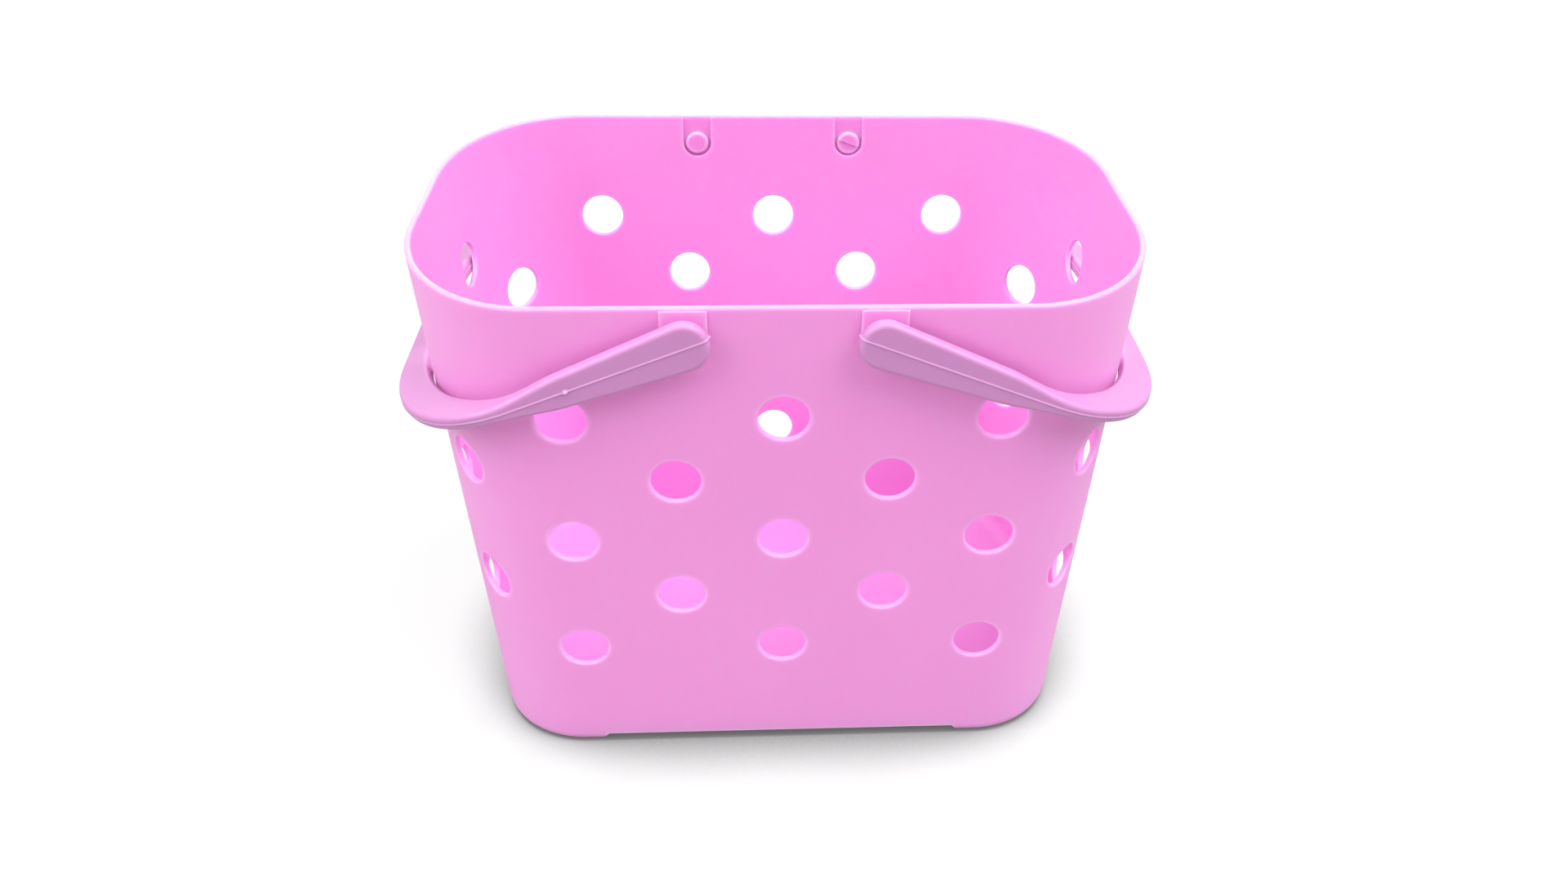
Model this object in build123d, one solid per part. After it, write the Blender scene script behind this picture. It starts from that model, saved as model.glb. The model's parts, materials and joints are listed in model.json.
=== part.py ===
from build123d import *
import math
import os

# A moulded shower caddy: an open tapered tub with round drain holes, and two bail handles that
# swing on snap-in pins near its rim. Sizes are in millimetres and degrees. The tub's long side
# lies along X, its front faces -Y, and it stands on z = 0.

# Tub, outside sizes
RIM_LENGTH = 260.0
RIM_WIDTH = 180.0
RIM_CORNER_X = 50.0
RIM_CORNER_Y = 67.0
BASE_LENGTH = 222.5
BASE_WIDTH = 149.5
BASE_CORNER = 34.0
TUB_HEIGHT = 200.0
WALL = 2.2
FLOOR = 2.4
RIM_ROUND = 1.0
BOTTOM_ROUND = 4.6
INSIDE_ROUND = 6.0

# Feet at the four corners
FOOT_HEIGHT = 4.2
FOOT_FLAT = 5.0
FOOT_RUN = 9.0
FOOT_RAMP = 3.5

# Drain holes, in staggered rows
HOLE_DIAMETER = 17.4
HOLE_ROUND = 0.7
TOP_ROW_BELOW_RIM = 43.5
ROW_PITCH = 26.1
LOWEST_HOLE_ABOVE_FLOOR = 40.0
SIDE_HOLE_INSET = 3.25
END_HOLE_INSET = 5.75
CORNER_HOLE_TURN = 45.0

# Hinge pins and the seats that they snap into
PIVOT_SPACING = 64.4
PIVOT_BELOW_RIM = 11.4
PIN_RADIUS = 4.0
PIN_PLAY = 0.1
HEAD_CATCH = 0.6
HEAD_THICKNESS = 1.7
HEAD_BEVEL = 0.7
HEAD_GAP = 0.3
SPLIT_STEP = 0.6
RECESS_MARGIN = 1.15
PAD_BORDER = 1.75
PAD_PROUD = 0.4
PAD_BELOW_RIM = 1.2

# Handle
HUB_GAP = 0.4
HUB_BOSS_THICKNESS = 1.2
HUB_BOSS_BORDER = 2.2
ARM_THICKNESS = 4.8
ARM_END_HEIGHT = 17.2
SHOULDER_HEIGHT = 12.2
SHOULDER_START = 42.0
SHOULDER_END = 70.0
GRIP_WIDTH = 9.8
GRIP_HEIGHT = 5.4
STRAP_ROUND = 1.7
INNER_BEND_WIDER_X = 4.0
INNER_BEND_TIGHTER_Y = 1.0
OUTER_BEND_TIGHTER_Y = 7.0
SWING_CLEARANCE = 2.6
REST_GAP = 0.4
MEETING_GAP = 0.6

# Share of a wall that one rounded edge may take up
ROUND_SHARE = 0.45
# How many sections shape one arm of the handle and one of its bends
ARM_SECTIONS = 8
BEND_SECTIONS = 9
# How far a cutting shape runs past what it cuts
OVERRUN = 10.0
# Smallest corner of an outline that is drawn in
LEAST_CORNER = 0.8
# How closely an edge lies to the height that it is looked for at
HEIGHT_MATCH = 0.01

# Where the hinge axes and the seat faces lie
pivot_x = PIVOT_SPACING / 2
pivot_z = TUB_HEIGHT - PIVOT_BELOW_RIM
pad_face = RIM_WIDTH / 2 + PAD_PROUD
recess_face = pad_face - WALL
hole_radius = PIN_RADIUS + PIN_PLAY
head_radius = hole_radius + HEAD_CATCH
recess_radius = head_radius + RECESS_MARGIN
pad_radius = recess_radius + PAD_BORDER
boss_face = pad_face + HUB_GAP
arm_face = boss_face + HUB_BOSS_THICKNESS
head_face = recess_face - HEAD_GAP
pin_end = head_face - HEAD_THICKNESS

# Where the floor and the middle of the wall lie
floor_top = FOOT_HEIGHT + FLOOR
mid_wall = WALL / 2
end_slope = (RIM_LENGTH - BASE_LENGTH) / 2 / TUB_HEIGHT

# Reach of the handle: the grip just passes the rim's end as it swings
grip_inner = math.hypot(RIM_LENGTH / 2 - pivot_x, TUB_HEIGHT - pivot_z) + SWING_CLEARANCE
inner_bend_x = RIM_CORNER_X + INNER_BEND_WIDER_X
inner_bend_y = RIM_CORNER_Y - INNER_BEND_TIGHTER_Y
outer_bend_x = RIM_CORNER_X
outer_bend_y = RIM_CORNER_Y - OUTER_BEND_TIGHTER_Y
arm_length = grip_inner - inner_bend_x
grip_straight = arm_face - inner_bend_y


def smooth(share):
    """0 to 1 with no kink at either end, for a share of the way that is clipped to 0 and 1."""
    share = min(max(share, 0.0), 1.0)
    return share * share * (3 - 2 * share)


def drop_angle():
    """Angle below level at which the grip's lower inner edge comes to rest near the tub's end wall."""
    lean = math.atan(end_slope)
    wall_distance = (pivot_x - BASE_LENGTH / 2 - end_slope * pivot_z) * math.cos(lean)
    out = grip_inner + STRAP_ROUND
    down = GRIP_HEIGHT / 2 - STRAP_ROUND
    level = math.acos((STRAP_ROUND + REST_GAP - wall_distance) / math.hypot(out, down))
    return math.degrees(lean + level - math.atan2(down, out))


def swing_range():
    """Angle from rest to where the two grips would meet over the middle of the tub."""
    out = grip_inner + GRIP_WIDTH - STRAP_ROUND
    up = GRIP_HEIGHT / 2 - STRAP_ROUND
    lean = math.acos((STRAP_ROUND + MEETING_GAP / 2 - pivot_x) / math.hypot(out, up))
    return math.degrees(lean - math.atan2(up, out)) + drop_angle()


def half_sizes(z, inset=0.0):
    """Half length, half width and the two corner radii of the tub at height z, drawn in by inset."""
    up = z / TUB_HEIGHT
    half_length = (BASE_LENGTH + (RIM_LENGTH - BASE_LENGTH) * up) / 2 - inset
    half_width = (BASE_WIDTH + (RIM_WIDTH - BASE_WIDTH) * up) / 2 - inset
    corner_x = BASE_CORNER + (RIM_CORNER_X - BASE_CORNER) * up - inset
    corner_y = BASE_CORNER + (RIM_CORNER_Y - BASE_CORNER) * up - inset
    return half_length, half_width, max(corner_x, LEAST_CORNER), max(corner_y, LEAST_CORNER)


def outline(z, inset=0.0):
    """Plan of the tub at height z: four straight sides joined by quarter ellipses."""
    half_length, half_width, corner_x, corner_y = half_sizes(z, inset)
    flat_x = half_length - corner_x
    flat_y = half_width - corner_y
    edges = []
    for quarter, (sx, sy) in enumerate(((1, 1), (-1, 1), (-1, -1), (1, -1))):
        edges.append(EllipticalCenterArc((sx * flat_x, sy * flat_y), corner_x, corner_y, 90 * quarter))
    edges.append(Line((flat_x, half_width), (-flat_x, half_width)))
    edges.append(Line((-half_length, flat_y), (-half_length, -flat_y)))
    edges.append(Line((-flat_x, -half_width), (flat_x, -half_width)))
    edges.append(Line((half_length, -flat_y), (half_length, flat_y)))
    return Pos(0, 0, z) * make_face(edges)


def edges_at_height(shape, z):
    """Edges of a shape that lie at height z."""
    return shape.edges().filter_by_position(Axis.Z, z - HEIGHT_MATCH, z + HEIGHT_MATCH)


def seat_profile(radius, top):
    """Upright slot round a hinge axis: a half disc below it and straight sides up to height top."""
    rise = top - pivot_z
    return Circle(radius) + Pos(0, rise / 2) * Rectangle(2 * radius, rise)


def seat_prism(profile, x, side, near, far):
    """Carry a seat profile along Y, from near to far, through the front (-1) or back (+1) wall."""
    plane = Plane(origin=(x, side * near, pivot_z), x_dir=(-side, 0, 0), z_dir=(0, side, 0))
    return extrude(plane * profile, far - near)


def wall_site(across, along, z, turn=None):
    """Point on the outside wall in the quarter +X +Y at height z, and the way out from the wall there.

    across gives a place along the side wall, along a place along the end wall, and turn an angle
    round the corner, from 0 at the end wall to 90 at the side wall.
    """
    half_length, half_width, corner_x, corner_y = half_sizes(z)
    base = half_sizes(0)
    drift = [(now - low) / z for now, low in zip((half_length, half_width, corner_x, corner_y), base)]
    flat_x = half_length - corner_x
    flat_y = half_width - corner_y
    angle = 0.0
    x = half_length
    y = along
    if across is not None:
        angle = math.pi / 2
        x = across
        y = half_width
    elif turn is not None or along > flat_y:
        angle = math.radians(turn) if turn is not None else math.asin((along - flat_y) / corner_y)
        x = flat_x + corner_x * math.cos(angle)
        y = flat_y + corner_y * math.sin(angle)
    lean_x = drift[0] - drift[2] + drift[2] * math.cos(angle)
    lean_y = drift[1] - drift[3] + drift[3] * math.sin(angle)
    out_x = corner_y * math.cos(angle)
    out_y = corner_x * math.sin(angle)
    return (x, y, z), (out_x, out_y, -out_x * lean_x - out_y * lean_y)


def hole_sites():
    """Every drain hole as a point and a direction. Every second row is shifted by half a pitch."""
    side_pitch = BASE_LENGTH / 2 - BASE_CORNER - SIDE_HOLE_INSET
    end_place = BASE_WIDTH / 2 - BASE_CORNER - END_HOLE_INSET
    top_row = TUB_HEIGHT - TOP_ROW_BELOW_RIM
    rows = math.floor((top_row - floor_top - LOWEST_HOLE_ABOVE_FLOOR) / ROW_PITCH) + 1
    sites = []
    for row in range(rows):
        z = top_row - row * ROW_PITCH
        quarter = [wall_site(0, None, z), wall_site(side_pitch, None, z), wall_site(None, end_place, z)]
        if row % 2:
            quarter = [wall_site(side_pitch / 2, None, z), wall_site(None, 0, z)]
            quarter.append(wall_site(None, None, z, CORNER_HOLE_TURN))
        for point, out in quarter:
            for sx in (1, -1) if point[0] > 0 else (1,):
                for sy in (1, -1) if point[1] > 0 else (1,):
                    place = (sx * point[0], sy * point[1], z)
                    sites.append((place, (sx * out[0], sy * out[1], out[2])))
    return sites


def make_tub():
    """Tub: tapered shell with rounded rim, corner feet, drain holes and hinge seats."""
    outside = loft([outline(0), outline(TUB_HEIGHT)], ruled=True)
    outside = fillet(edges_at_height(outside, 0), BOTTOM_ROUND)
    over = TUB_HEIGHT + OVERRUN
    inside = loft([outline(floor_top, WALL), outline(over, WALL)], ruled=True)
    inside = fillet(edges_at_height(inside, floor_top), INSIDE_ROUND)
    tub = outside - inside
    tub = fillet(edges_at_height(tub, TUB_HEIGHT), min(RIM_ROUND, ROUND_SHARE * WALL))

    # Feet: hollow the underside, then cut the skirt that is left down to its four corners
    tub -= extrude(outline(0, BOTTOM_ROUND + FOOT_FLAT), FOOT_HEIGHT)
    for length, width, turn in ((BASE_LENGTH, BASE_WIDTH, 0), (BASE_WIDTH, BASE_LENGTH, 90)):
        gap = length / 2 - BASE_CORNER - FOOT_RUN
        low = gap + FOOT_RAMP
        arch = Polyline((-low, 0), (low, 0), (gap, FOOT_HEIGHT), (-gap, FOOT_HEIGHT), close=True)
        tub -= Rot(0, 0, turn) * extrude(Plane.XZ * make_face(arch), width / 2 + OVERRUN, both=True)

    # Hinge seats: a raised pad outside each pin and a recess inside it that is open to the rim
    middle = loft([outline(0, mid_wall), outline(over, mid_wall)], ruled=True)
    pads = []
    cuts = []
    for x in (-pivot_x, pivot_x):
        for side in (-1, 1):
            pad = seat_profile(pad_radius, TUB_HEIGHT - PAD_BELOW_RIM)
            pads.append(seat_prism(pad, x, side, recess_face - OVERRUN, pad_face) - middle)
            recess = seat_profile(recess_radius, over)
            cuts.append(seat_prism(recess, x, side, recess_face - OVERRUN, recess_face))
        cuts.append(Pos(x, 0, pivot_z) * Rot(90, 0, 0) * Cylinder(hole_radius, 2 * pad_face + OVERRUN))
    tub = tub + pads - cuts

    # Drain holes with softly rounded edges, each one's seam at its top
    drills = []
    for point, out in hole_sites():
        up_wall = Vector(out).cross(Vector(0, 0, 1).cross(Vector(out)))
        plane = Plane(origin=point, x_dir=up_wall, z_dir=out)
        drills.append(plane * Cylinder(HOLE_DIAMETER / 2, 2 * OVERRUN))
    drilled = tub - drills
    rims = new_edges(tub, combined=drilled).filter_by(GeomType.LINE, reverse=True)
    tub = fillet(rims, min(HOLE_ROUND, ROUND_SHARE * WALL))
    return tub


def strap_section(place, out, width, height):
    """Rounded rectangle across the handle, its inner edge at place and its width along out."""
    centre = (place[0] + out[0] * width / 2, place[1] + out[1] * width / 2, 0)
    plane = Plane(origin=centre, x_dir=(out[0], out[1], 0), z_dir=(out[1], -out[0], 0))
    return plane * RectangleRounded(width, height, STRAP_ROUND)


def strap_width(place, out):
    """Distance along out from a place on the inner bend to the outer bend, a wider quarter ellipse."""
    from_x = max(place[0] - grip_inner - GRIP_WIDTH + outer_bend_x, 0) / outer_bend_x
    from_y = max(place[1] - arm_face - ARM_THICKNESS + outer_bend_y, 0) / outer_bend_y
    way_x = out[0] / outer_bend_x
    way_y = out[1] / outer_bend_y
    square = way_x**2 + way_y**2
    cross = from_x * way_x + from_y * way_y
    rest = from_x**2 + from_y**2 - 1
    return (math.sqrt(cross**2 - square * rest) - cross) / square


def strap_height(run):
    """Height of the strap after a run from the hinge: an even taper, then a shoulder down to the grip."""
    taper = ARM_END_HEIGHT + (SHOULDER_HEIGHT - ARM_END_HEIGHT) * run / SHOULDER_START
    return taper + (GRIP_HEIGHT - taper) * smooth((run - SHOULDER_START) / (SHOULDER_END - SHOULDER_START))


def strap_stations():
    """Sections from the hinge to the middle of the grip on the +Y half: place, way out and sizes."""
    stations = []
    for step in range(ARM_SECTIONS):
        run = arm_length * step / ARM_SECTIONS
        stations.append(((run, arm_face), (0, 1), ARM_THICKNESS, strap_height(run)))
    run = arm_length
    last = (arm_length, arm_face)
    for step in range(BEND_SECTIONS + 1):
        angle = math.radians(90 - 90 * step / BEND_SECTIONS)
        x = inner_bend_x * math.cos(angle)
        y = inner_bend_y * math.sin(angle)
        place = (arm_length + x, grip_straight + y)
        steep = math.hypot(x / inner_bend_x**2, y / inner_bend_y**2)
        out = (x / inner_bend_x**2 / steep, y / inner_bend_y**2 / steep)
        run += math.dist(last, place)
        last = place
        stations.append((place, out, strap_width(place, out), strap_height(run)))
    stations.append(((grip_inner, grip_straight / 2), (1, 0), GRIP_WIDTH, GRIP_HEIGHT))
    return stations


def make_handle():
    """Handle in its own frame: hinge axis on Y, grip towards +X, lying flat in the plane z = 0."""
    half = [strap_section(*station) for station in strap_stations()]
    middle = strap_section((grip_inner, 0), (1, 0), GRIP_WIDTH, GRIP_HEIGHT)
    strap = loft(half + [middle] + [section.mirror(Plane.XZ) for section in reversed(half)])

    # Rounded arm end: the first section's upper half, turned half round the hinge axis
    hinge_axis = Axis((0, 0, 0), (0, 1, 0))
    end_middle = arm_face + ARM_THICKNESS / 2
    end_profile = RectangleRounded(ARM_THICKNESS, ARM_END_HEIGHT, STRAP_ROUND)
    upper = Pos(0, ARM_END_HEIGHT / 2) * Rectangle(ARM_THICKNESS, ARM_END_HEIGHT)
    plane = Plane(origin=(0, end_middle, 0), x_dir=(0, 1, 0), z_dir=(1, 0, 0))
    arm_end = revolve(plane * (end_profile & upper), hinge_axis, -180)

    # Hinge pin: boss against the seat, journal through the wall, and a bevelled head that catches
    boss_radius = PIN_RADIUS + HUB_BOSS_BORDER
    pin_outline = (
        (0, end_middle),
        (boss_radius, end_middle),
        (boss_radius, boss_face),
        (PIN_RADIUS, boss_face),
        (PIN_RADIUS, head_face),
        (head_radius, head_face),
        (head_radius, pin_end + HEAD_BEVEL),
        (head_radius - HEAD_BEVEL, pin_end),
        (0, pin_end),
    )
    pin = revolve(make_face(Polyline(*pin_outline, close=True)), hinge_axis)

    # One pin of the two is stepped across its end along the mould's parting plane
    step = Box(2 * head_radius, SPLIT_STEP, head_radius, align=(Align.CENTER, Align.MIN, Align.MAX))
    stepped_pin = pin - Pos(0, pin_end, 0) * step
    return strap + [arm_end, arm_end.mirror(Plane.XZ), stepped_pin, pin.mirror(Plane.XZ)]


os.makedirs("parts", exist_ok=True)
export_step(make_tub(), "parts/tub.step")
right_handle = Pos(pivot_x, 0, pivot_z) * Rot(0, drop_angle(), 0) * make_handle()
export_step(right_handle, "parts/right_handle.step")
export_step(Rot(0, 0, 180) * right_handle, "parts/left_handle.step")
print("handle hangs", round(drop_angle(), 2), "degrees below level and swings", round(swing_range(), 2))
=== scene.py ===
import json
import math

import bmesh
import bpy
import numpy as np
from mathutils import Matrix


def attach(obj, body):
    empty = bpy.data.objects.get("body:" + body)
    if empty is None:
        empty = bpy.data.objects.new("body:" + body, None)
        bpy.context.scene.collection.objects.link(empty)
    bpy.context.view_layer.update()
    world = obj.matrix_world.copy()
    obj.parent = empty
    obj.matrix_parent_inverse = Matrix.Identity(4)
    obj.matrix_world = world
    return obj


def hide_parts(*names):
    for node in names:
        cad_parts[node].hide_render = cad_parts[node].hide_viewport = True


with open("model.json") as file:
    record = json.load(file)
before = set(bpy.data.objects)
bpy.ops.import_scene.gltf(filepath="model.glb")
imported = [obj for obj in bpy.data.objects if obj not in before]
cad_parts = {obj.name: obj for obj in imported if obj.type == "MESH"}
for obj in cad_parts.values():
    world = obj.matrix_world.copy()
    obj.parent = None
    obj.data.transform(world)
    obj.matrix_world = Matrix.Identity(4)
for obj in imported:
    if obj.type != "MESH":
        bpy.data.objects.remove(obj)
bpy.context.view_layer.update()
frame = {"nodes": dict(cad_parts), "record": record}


# Tub: one injection moulding of pink polypropylene, with a wall about 2 mm thick, rows of round
# drain holes, corner feet and a seat for each hinge pin. The CAD solid has all of that shape, so
# only the finish is made here.
TUB_PINK = "#E9A0DC"
TUB_PINK_DRIFT = "#E59BD8"
# The paler edge pink is a painted glow: it stands in for light leaking out of thin edges and highlights on
# their rounding
TUB_PAINTED_EDGE_GLOW = "#F6C6EE"
TUB_SEE_THROUGH = 1.0
# Lengths in the finish are in metres
PIGMENT_PATCH = 0.060
PIGMENT_DETAIL = 2.0
MOULD_GRAIN = 0.0009
GRAIN_DETAIL = 3.0
GRAIN_DEPTH = 0.0001
GRAIN_STRENGTH = 0.12
SATIN_LOW = 0.34
SATIN_HIGH = 0.46
# Painted glow near edges: how far it reaches, how strong on the sides, and the inside-AO levels where it
# starts and is full
PAINTED_GLOW_REACH = 0.002
PAINTED_GLOW_SHARE = 0.8
PAINTED_GLOW_STARTS = 0.85
PAINTED_GLOW_FULL = 0.5
PAINTED_GLOW_SAMPLES = 4
LIGHT_DEPTH = 0.003
LIGHT_DEPTH_BY_COLOUR = (1.0, 0.6, 0.9)
POLYPROPYLENE_IOR = 1.49


def linear(code):
    """Linear colour of an sRGB hex code: c/12.92 below 0.04045, else ((c + 0.055)/1.055) to the 2.4."""
    share = np.array([int(code[i:i + 2], 16) for i in (1, 3, 5)]) / 255
    curve = np.where(share < 0.04045, share / 12.92, ((share + 0.055) / 1.055) ** 2.4)
    return (*curve.tolist(), 1.0)


def add_node(tree, kind, settings=None, **inputs):
    """Adds a node with its settings; each input is a value, or the socket that feeds it.

    An input is given by its name, with _ for a space, or by its number, as in i0.
    """
    node = tree.nodes.new(kind)
    for name, value in (settings or {}).items():
        setattr(node, name, value)
    for name, value in inputs.items():
        socket = node.inputs[int(name[1:])] if name[1:].isdigit() else node.inputs[name.replace("_", " ")]
        if isinstance(value, bpy.types.NodeSocket):
            tree.links.new(value, socket)
        else:
            socket.default_value = value
    return node


def moulded_polypropylene(name, body, drift, edge_glow, see_through):
    """Polypropylene out of a spark-eroded mould: satin, milky, with a faint drift of pigment.

    Light goes a few millimetres into it, so thin walls glow. Within about 2 mm of an edge the colour is mixed
    towards a paler pink, a painted glow and highlight for light leaking out there, less on upward faces.
    Pigment drifts over 60 mm.
    The mould's grain is about 0.3 mm and is drawn at 0.9 mm so that it shows.
    """
    material = bpy.data.materials.new(name)
    material.use_nodes = True
    tree = material.node_tree
    tree.nodes.clear()
    coordinates = add_node(tree, "ShaderNodeTexCoord").outputs
    place = coordinates["Object"]
    cloud = add_node(tree, "ShaderNodeTexNoise", Vector=place, Scale=1 / PIGMENT_PATCH,
                     Detail=PIGMENT_DETAIL)
    colour = add_node(tree, "ShaderNodeMix", {"data_type": "RGBA"}, i0=cloud.outputs["Fac"],
                      i6=linear(body), i7=linear(drift))
    # Painted glow: near edges, and less on upward faces, the colour is mixed towards the paler edge pink
    bulk = add_node(tree, "ShaderNodeAmbientOcclusion",
                    {"inside": True, "only_local": True, "samples": PAINTED_GLOW_SAMPLES}, Distance=PAINTED_GLOW_REACH)
    facing = add_node(tree, "ShaderNodeSeparateXYZ", Vector=coordinates["Normal"])
    glow_by_facing = add_node(tree, "ShaderNodeMapRange", Value=facing.outputs["Z"], To_Min=PAINTED_GLOW_SHARE, To_Max=0.0)
    painted_glow_share = add_node(tree, "ShaderNodeMapRange", Value=bulk.outputs["AO"], From_Min=PAINTED_GLOW_STARTS,
                    From_Max=PAINTED_GLOW_FULL, To_Max=glow_by_facing.outputs["Result"])
    colour = add_node(tree, "ShaderNodeMix", {"data_type": "RGBA"}, i0=painted_glow_share.outputs["Result"],
                      i6=colour.outputs[2], i7=linear(edge_glow))
    grain = add_node(tree, "ShaderNodeTexNoise", Vector=place, Scale=1 / MOULD_GRAIN,
                     Detail=GRAIN_DETAIL)
    sheen = add_node(tree, "ShaderNodeMapRange", Value=grain.outputs["Fac"], To_Min=SATIN_LOW,
                     To_Max=SATIN_HIGH)
    bump = add_node(tree, "ShaderNodeBump", Height=grain.outputs["Fac"], Strength=GRAIN_STRENGTH,
                    Distance=GRAIN_DEPTH)
    shader = add_node(tree, "ShaderNodeBsdfPrincipled", Base_Color=colour.outputs[2],
                      Roughness=sheen.outputs["Result"], Normal=bump.outputs["Normal"], IOR=POLYPROPYLENE_IOR,
                      Subsurface_Weight=see_through, Subsurface_Radius=LIGHT_DEPTH_BY_COLOUR,
                      Subsurface_Scale=LIGHT_DEPTH)
    add_node(tree, "ShaderNodeOutputMaterial", Surface=shader.outputs["BSDF"])
    return material


tub = frame["nodes"]["tub"]
tub_finish = moulded_polypropylene(
    "tub_satin_polypropylene", TUB_PINK, TUB_PINK_DRIFT, TUB_PAINTED_EDGE_GLOW, TUB_SEE_THROUGH)
tub.data.materials.clear()
tub.data.materials.append(tub_finish)

# Handles: two like bail mouldings of polypropylene, each a strap round one end of the tub with a
# blade-like arm at either side and a snap-in hinge pin. The strap's pink is darker and greyer than the
# pins', which carry the tub's finish. This is partly a greyer pigment and partly painted shade, as the pins
# are lit like the tub's inside. The mould's halves meet at mid height and leave a raised line, a nib at
# each arm end and a gate mark.
HANDLE_PINK_WITH_SHADE = "#C789BE"
HANDLE_DRIFT_WITH_SHADE = "#C385BA"
# The paler edge pink of the handle is a painted glow, as on the tub
HANDLE_PAINTED_EDGE_GLOW = "#DFB0D8"
HANDLE_SEE_THROUGH = 0.6
DROP = math.radians(21.54)
# Lengths in the handle are in millimetres, with its hinge axis along Y and the tub's middle at Y = 0
MM = 0.001
ARM_FACE = 92.0
ARM_THICKNESS = 4.8
ARM_END_HEIGHT = 17.2
SHOULDER_HEIGHT = 12.2
SHOULDER_START = 42.0
SHOULDER_END = 70.0
GRIP_INNER = 101.06
GRIP_WIDTH = 9.8
GRIP_HEIGHT = 5.4
STRAP_ROUND = 1.7
INNER_BEND = np.array([54.0, 66.0])
OUTER_BEND = np.array([50.0, 60.0])
LINE_PROUD = 0.3
LINE_HALF_WIDTH = 0.3
NIB_PROUD = 0.6
NIB_HALF_WIDTH = 0.8
NIB_HALF_HEIGHT = 2 * LINE_HALF_WIDTH
GATE_AT = 40.6
GATE_PROUD = 0.7
GATE_RADIUS = 0.8
BOSS_RADIUS = 6.2
BOSS_FACE = 90.8
PIN_RADIUS = 4.0
HEAD_RADIUS = 4.7
HEAD_FACE = 87.9
HEAD_BEVEL = 0.7
PIN_END = 86.2
SPLIT_STEP = 0.6
# How finely the handle's surfaces are divided: with close stations up to GATE_SPAN radii from the gate
# mark, close points up to LINE_SPAN half widths from the line, and SPLIT_TURN degrees at a pin's step
SPLIT_TURN = 0.5
ARM_STATIONS = 41
GATE_SPAN = 2.0
GATE_STATIONS = 17
BEND_STATIONS = 61
GRIP_STATIONS = 13
LINE_SPAN = 2.4
LINE_POINTS = 9
SECTION_POINTS = 25
END_STEPS = 27
PIN_STEPS = 33
MERGE = 0.0005
SHARP_EDGE = math.radians(40)


def smooth(share):
    """0 to 1 with level ends: 3s^2 - 2s^3, for a share clipped to 0 and 1."""
    share = np.clip(share, 0, 1)
    return share * share * (3 - 2 * share)


def strap_stations():
    """Inner edge, way out, width and height of the strap, from the hinge to the middle of the grip.

    The inner edge runs straight along X, round a quarter ellipse and straight along Y. The width is
    the distance along its normal to the outer bend, a squarer quarter ellipse: where place + t out
    meets it, from the quadratic in t. The height tapers evenly, then falls smoothly at a shoulder.
    """
    centre = np.array([GRIP_INNER, ARM_FACE]) - INNER_BEND
    outer_centre = np.array([GRIP_INNER + GRIP_WIDTH, ARM_FACE + ARM_THICKNESS]) - OUTER_BEND
    near_gate = GATE_AT + GATE_RADIUS * np.linspace(-GATE_SPAN, GATE_SPAN, GATE_STATIONS)
    along = np.union1d(np.linspace(0, centre[0], ARM_STATIONS)[:-1], near_gate)
    turn = np.radians(np.linspace(90, 0, BEND_STATIONS))
    down = np.linspace(centre[1], 0, GRIP_STATIONS)[1:]
    round_bend = np.stack([np.cos(turn), np.sin(turn)], 1)
    out = round_bend / INNER_BEND
    out /= np.linalg.norm(out, axis=1, keepdims=True)
    place = np.concatenate([
        np.stack([along, np.full_like(along, ARM_FACE)], 1),
        centre + INNER_BEND * round_bend,
        np.stack([np.full_like(down, GRIP_INNER), down], 1)])
    out = np.concatenate([np.tile([0.0, 1.0], (len(along), 1)), out, np.tile([1.0, 0.0], (len(down), 1))])
    start = np.maximum(place - outer_centre, 0) / OUTER_BEND
    way = out / OUTER_BEND
    square = (way**2).sum(1)
    cross = (start * way).sum(1)
    width = (np.sqrt(cross**2 - square * ((start**2).sum(1) - 1)) - cross) / square
    run = np.concatenate([[0], np.cumsum(np.linalg.norm(np.diff(place, axis=0), axis=1))])
    taper = ARM_END_HEIGHT + (SHOULDER_HEIGHT - ARM_END_HEIGHT) * run / SHOULDER_START
    height = taper + (GRIP_HEIGHT - taper) * smooth((run - SHOULDER_START) / (SHOULDER_END - SHOULDER_START))
    return place, out, width, height


def quarter_section(width, height):
    """A quarter of a rounded rectangle by length along it, from mid side to mid top, and its normals.

    Up the side to where the corner starts, round the corner by length/radius, then in along the top.
    The first part has close points, for the raised line.
    """
    side = (height / 2 - STRAP_ROUND)[:, None]
    top = (width / 2 - STRAP_ROUND)[:, None]
    arc = STRAP_ROUND * math.pi / 2
    near = LINE_HALF_WIDTH * np.linspace(0, LINE_SPAN, LINE_POINTS)
    rest = np.linspace(0, 1, SECTION_POINTS)[1:]
    far = near[-1] + (side + arc + top - near[-1]) * rest
    length = np.concatenate([np.tile(near, (len(width), 1)), far], 1)
    angle = np.clip((length - side) / STRAP_ROUND, 0, math.pi / 2)
    past = np.clip(length - side - arc, 0, None)
    up = np.minimum(length, side) + STRAP_ROUND * np.sin(angle)
    out = width[:, None] - STRAP_ROUND * (1 - np.cos(angle)) - past
    return out, up, np.cos(angle), np.sin(angle)


def mould_line(up):
    """Height of the raised line at a distance from the mould's parting plane: a bell curve."""
    return LINE_PROUD * np.exp(-(up / LINE_HALF_WIDTH) ** 2)


def strip_faces(rows, columns, closed):
    """Quads between neighbouring rows of a grid, joined round where the columns close on themselves."""
    index = np.arange(rows * columns).reshape(rows, columns)
    if closed:
        index = np.concatenate([index, index[:, :1]], 1)
    return np.stack([index[:-1, :-1], index[1:, :-1], index[1:, 1:], index[:-1, 1:]], -1).reshape(-1, 4)


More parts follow.
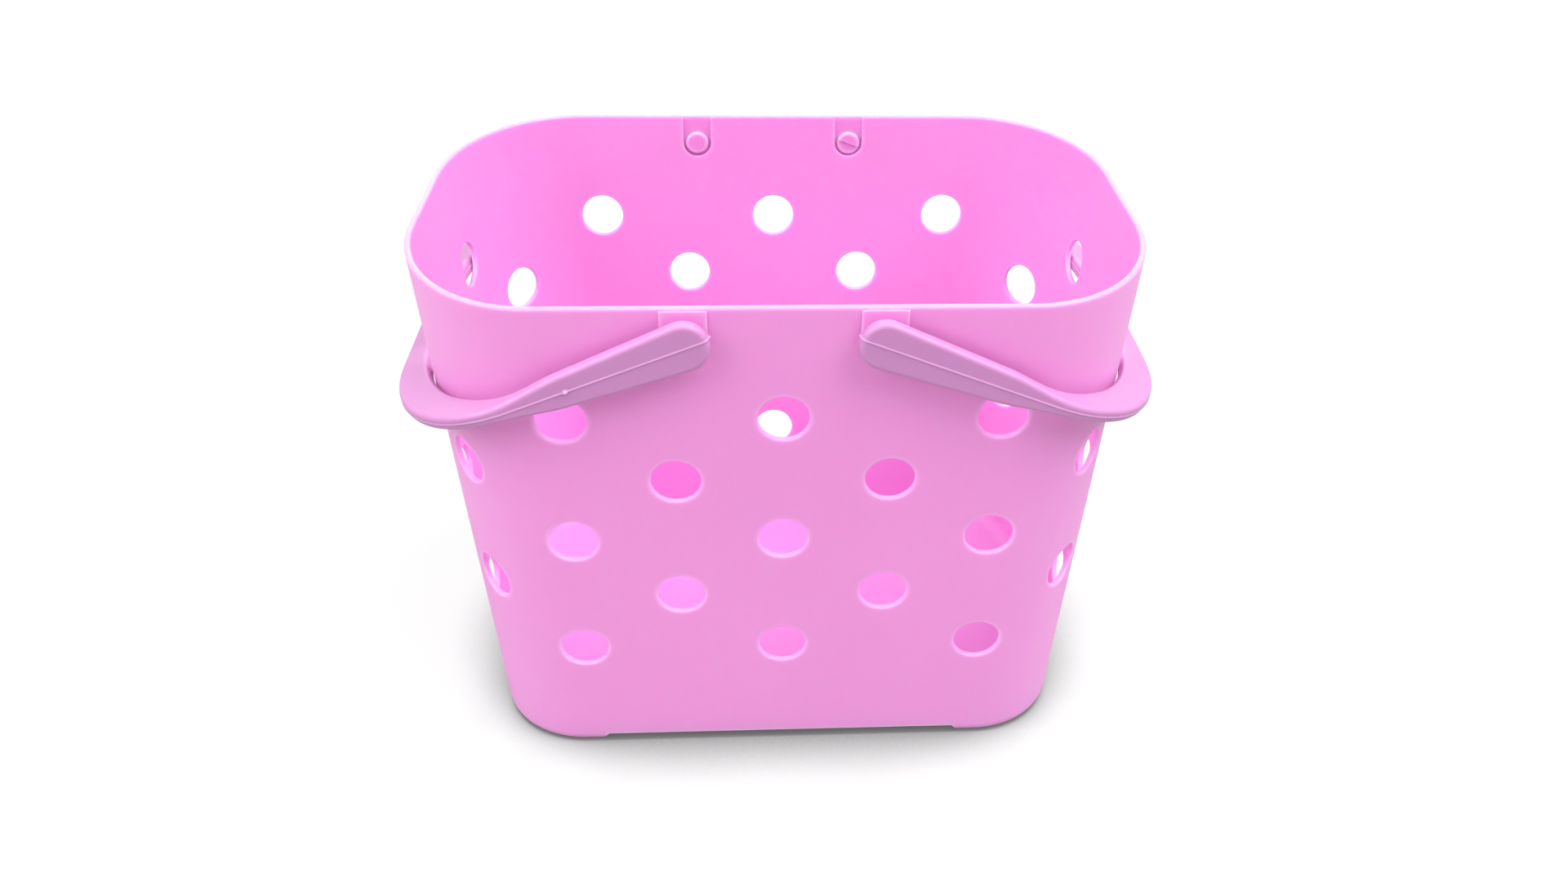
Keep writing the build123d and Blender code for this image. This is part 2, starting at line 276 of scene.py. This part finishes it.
def handle_strap():
    """Strap from hinge to hinge: the quarter section mirrored into a ring and carried along the stations.

    The raised line stands out along the normal at both sides, and the gate mark is a round bell on the
    outside of the +Y arm.
    """
    place, out_way, width, height = strap_stations()
    out, up, normal_out, _ = quarter_section(width, height)
    line = mould_line(up) * normal_out
    outer = np.concatenate([out + line, (width[:, None] - out - line)[:, ::-1][:, 1:]], 1)
    rise = np.concatenate([up, up[:, ::-1][:, 1:]], 1)
    ring_out = np.concatenate([outer, outer[:, ::-1][:, 1:-1]], 1)
    ring_up = np.concatenate([rise, -rise[:, ::-1][:, 1:-1]], 1)
    from_gate = np.hypot(place[:, :1] - GATE_AT, ring_up) / GATE_RADIUS
    on_arm = (place[:, 1:] >= ARM_FACE) & (ring_out > ARM_THICKNESS / 2)
    gate = GATE_PROUD * np.exp(-(from_gate**4)) * on_arm
    near, far = (
        np.concatenate([place[:, None] + out_way[:, None] * ring[..., None], ring_up[..., None]], -1)
        for ring in (ring_out + gate, ring_out))
    points = np.concatenate([near, far[::-1][1:] * [1, -1, 1]])
    return points.reshape(-1, 3), strip_faces(*points.shape[:2], True)


def handle_end(side):
    """Round arm end: the first section's upper half turned half round the hinge axis, with its nib.

    The turn grows with the square of the step's number, so the steps are close at the parting plane.
    """
    one = np.ones(1)
    out, up, normal_out, normal_up = quarter_section(ARM_THICKNESS * one, ARM_END_HEIGHT * one)
    across = np.concatenate([out[0], (ARM_THICKNESS - out[0])[::-1][1:]])
    radius = np.concatenate([up[0], up[0][::-1][1:]])
    normal_y = np.concatenate([normal_out[0], -normal_out[0][::-1][1:]])
    normal_r = np.concatenate([normal_up[0], normal_up[0][::-1][1:]])
    spread = 90 * np.linspace(0, 1, END_STEPS) ** 2
    turn = np.radians(np.concatenate([180 - spread[::-1], 180 + spread[1:]]))[:, None]
    level = radius * np.sin(turn)
    proud = mould_line(level)
    nib = NIB_PROUD * np.exp(-(level / NIB_HALF_HEIGHT) ** 2)
    nib = nib * np.exp(-((across - ARM_THICKNESS / 2) / NIB_HALF_WIDTH) ** 2)
    reach = radius + (proud + nib) * normal_r
    points = np.stack([reach * np.cos(turn), side * (ARM_FACE + across + proud * normal_y),
                       reach * np.sin(turn)], -1)
    return points.reshape(-1, 3), strip_faces(*points.shape[:2], False)


def hinge_pin(side, step):
    """Snap pin: a profile of radius against place along Y, turned about the hinge axis.

    A boss against the seat, a journal through the wall and a bevelled head. Below the parting plane
    its end is cut back by step, between two close columns on either side of that plane.
    """
    profile = np.array([
        (0, ARM_FACE + ARM_THICKNESS / 2), (BOSS_RADIUS, ARM_FACE + ARM_THICKNESS / 2),
        (BOSS_RADIUS, BOSS_FACE), (PIN_RADIUS, BOSS_FACE), (PIN_RADIUS, HEAD_FACE), (HEAD_RADIUS, HEAD_FACE),
        (HEAD_RADIUS, PIN_END + HEAD_BEVEL), (HEAD_RADIUS - HEAD_BEVEL, PIN_END), (0, PIN_END)])
    upper = np.linspace(0, 180, PIN_STEPS)
    turn = np.radians(np.concatenate([upper, 180 + np.clip(upper, SPLIT_TURN, 180 - SPLIT_TURN)]))
    radius, place = profile.T[:, :, None]
    lower = np.sin(turn) < -MERGE
    place = np.maximum(place, PIN_END + step * lower)
    points = np.stack([radius * np.cos(turn), side * place, radius * np.sin(turn)], -1)
    return points.reshape(-1, 3), strip_faces(*points.shape[:2], True)


def closed_mesh(name, finish, *grids):
    """One closed mesh from several grids: equal points are merged and the faces turned outwards."""
    starts = np.cumsum([0] + [len(points) for points, _ in grids])
    points = np.concatenate([points for points, _ in grids])
    faces = np.concatenate([faces + start for (_, faces), start in zip(grids, starts)])
    mesh = bpy.data.meshes.new(name)
    mesh.from_pydata(points.tolist(), [], faces.tolist())
    shape = bmesh.new()
    shape.from_mesh(mesh)
    bmesh.ops.remove_doubles(shape, verts=shape.verts, dist=MERGE)
    bmesh.ops.dissolve_degenerate(shape, edges=shape.edges, dist=MERGE)
    bmesh.ops.recalc_face_normals(shape, faces=shape.faces)
    shape.to_mesh(mesh)
    shape.free()
    mesh.materials.append(finish)
    return mesh


def united(name, *meshes):
    """One mesh from overlapping closed ones, by an exact Boolean union."""
    solids = [bpy.data.objects.new(f"{name}_{number}", mesh) for number, mesh in enumerate(meshes)]
    for solid in solids:
        bpy.context.scene.collection.objects.link(solid)
    for solid in solids[1:]:
        join = solids[0].modifiers.new(solid.name, "BOOLEAN")
        join.operation = "UNION"
        join.solver = "EXACT"
        join.material_mode = "TRANSFER"
        join.object = solid
    whole = bpy.data.meshes.new_from_object(solids[0].evaluated_get(bpy.context.evaluated_depsgraph_get()))
    for solid in solids:
        bpy.data.objects.remove(solid)
    return whole


handle_finish = moulded_polypropylene(
    "handle_satin_polypropylene", HANDLE_PINK_WITH_SHADE, HANDLE_DRIFT_WITH_SHADE, HANDLE_PAINTED_EDGE_GLOW, HANDLE_SEE_THROUGH)
bail = united("bail", closed_mesh("strap", handle_finish, handle_strap(), handle_end(1), handle_end(-1)),
              # The pins take the tub's lighter finish, not the strap's: painted light, for pins lit like the
              # tub's inside
              closed_mesh("stepped_pin", tub_finish, hinge_pin(1, SPLIT_STEP)),
              closed_mesh("plain_pin", tub_finish, hinge_pin(-1, 0)))
hinges = {joint["child"]: joint["pos_m"] for joint in frame["record"]["behaviour"]["joints"]}
for name, half_turns in (("right_handle", 0), ("left_handle", 1)):
    mesh = bail.copy()
    mesh.transform(Matrix.Translation(hinges[name]) @ Matrix.Rotation(half_turns * math.pi, 4, "Z")
                   @ Matrix.Rotation(DROP, 4, "Y") @ Matrix.Scale(MM, 4))
    mesh.shade_smooth()
    mesh.set_sharp_from_angle(angle=SHARP_EDGE)
    piece = bpy.data.objects.new(name + "_moulding", mesh)
    bpy.context.scene.collection.objects.link(piece)
    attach(piece, name)
    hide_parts(name)

# Studio: a matt floor that the camera sees as white paper, with the shadow that the tub casts and a
# painted shadow close round its foot, darker where less open sky reaches the floor; an even sky, a
# broad soft lamp high up on either side, each a little to the front, and a weak one low behind.
FLOOR_REACH = 8.0
FLOOR_GREY = 0.35
PAPER_GREY = 0.12
PAPER_WHITE = 0.83
PAPER_IN_PAINTED_SHADOW = 0.1
PAINTED_SHADOW_REACH = 0.06
PAINTED_SHADOW_DARK = 0.4
PAINTED_SHADOW_CLEAR = 0.72
PAINTED_SHADOW_SAMPLES = 16
SKY_LEVEL = 0.42
LAMP_SIZE = math.radians(55)
# Power of each lamp, and its degrees to the front and to the right of straight above
LAMPS = {"right": (3.6, 13, 28), "left": (2.4, 17, -44), "back": (0.9, -62, 0)}
floor_mesh = bpy.data.meshes.new("floor")
corners = FLOOR_REACH * np.array([(-1, -1, 0), (1, -1, 0), (1, 1, 0), (-1, 1, 0)])
floor_mesh.from_pydata(corners.tolist(), [], [(0, 1, 2, 3)])
floor = bpy.data.objects.new("floor", floor_mesh)
bpy.context.scene.collection.objects.link(floor)
floor_paint = bpy.data.materials.new("floor_matt_white_paint")
floor_paint.use_nodes = True
tree = floor_paint.node_tree
tree.nodes.clear()
path = add_node(tree, "ShaderNodeLightPath")
grey = add_node(tree, "ShaderNodeMapRange", Value=path.outputs["Is Camera Ray"], To_Min=FLOOR_GREY,
                To_Max=PAPER_GREY)
matt = add_node(tree, "ShaderNodeBsdfDiffuse", Color=grey.outputs["Result"])
# Painted shadow: the white the camera sees is dimmed where the tub hems in the floor's open sky
open_sky = add_node(tree, "ShaderNodeAmbientOcclusion", {"samples": PAINTED_SHADOW_SAMPLES}, Distance=PAINTED_SHADOW_REACH)
paper_with_painted_shadow = add_node(tree, "ShaderNodeMapRange", Value=open_sky.outputs["AO"], From_Min=PAINTED_SHADOW_DARK,
                 From_Max=PAINTED_SHADOW_CLEAR, To_Min=PAPER_IN_PAINTED_SHADOW, To_Max=PAPER_WHITE)
seen = add_node(tree, "ShaderNodeMath", {"operation": "MULTIPLY"}, i0=path.outputs["Is Camera Ray"],
                i1=paper_with_painted_shadow.outputs["Result"])
glow = add_node(tree, "ShaderNodeEmission", Strength=seen.outputs["Value"])
both = add_node(tree, "ShaderNodeAddShader", i0=matt.outputs["BSDF"], i1=glow.outputs["Emission"])
add_node(tree, "ShaderNodeOutputMaterial", Surface=both.outputs["Shader"])
floor_mesh.materials.append(floor_paint)

world = bpy.data.worlds.new("studio")
bpy.context.scene.world = world
world.use_nodes = True
tree = world.node_tree
tree.nodes.clear()
path = add_node(tree, "ShaderNodeLightPath")
seen = add_node(tree, "ShaderNodeMath", {"operation": "MAXIMUM"}, i0=path.outputs["Is Camera Ray"],
                i1=path.outputs["Is Transmission Ray"])
seen = add_node(tree, "ShaderNodeMath", {"operation": "MAXIMUM"}, i0=seen.outputs[0],
                i1=path.outputs["Is Glossy Ray"])
level = add_node(tree, "ShaderNodeMapRange", Value=seen.outputs[0], To_Min=SKY_LEVEL, To_Max=1.0)
sky = add_node(tree, "ShaderNodeBackground", Color=(1, 1, 1, 1), Strength=level.outputs["Result"])
add_node(tree, "ShaderNodeOutputWorld", Surface=sky.outputs["Background"])

for name, (power, forward, lean) in LAMPS.items():
    light = bpy.data.lights.new(name + "_softbox", "SUN")
    light.energy = power
    light.angle = LAMP_SIZE
    lamp = bpy.data.objects.new(name + "_softbox", light)
    lamp.rotation_euler = (math.radians(forward), math.radians(lean), 0)
    bpy.context.scene.collection.objects.link(lamp)

# Camera: above the front, a little left of the middle, as a hand-held shot looks down into the tub.
# Sensor and lens are in millimetres, its place in metres and its turns in radians.
SENSOR_WIDTH = 36
LENS_LENGTH = 31.886
LENS_SHIFT = (-0.02963, -0.00491)
CAMERA_PLACE = (-0.0119, -0.48187, 0.39918)
CAMERA_PAN = -0.06962
CAMERA_DOWN = 0.56006
CAMERA_ROLL = 0.02531
lens = bpy.data.cameras.new("camera")
lens.sensor_width = SENSOR_WIDTH
lens.lens = LENS_LENGTH
lens.shift_x, lens.shift_y = LENS_SHIFT
camera = bpy.data.objects.new("camera", lens)
camera.matrix_world = (
    Matrix.Translation(CAMERA_PLACE) @ Matrix.Rotation(CAMERA_PAN, 4, "Z")
    @ Matrix.Rotation(math.pi / 2 - CAMERA_DOWN, 4, "X") @ Matrix.Rotation(CAMERA_ROLL, 4, "Z"))
bpy.context.scene.collection.objects.link(camera)
bpy.context.scene.camera = camera
bpy.context.scene.view_settings.view_transform = "Standard"
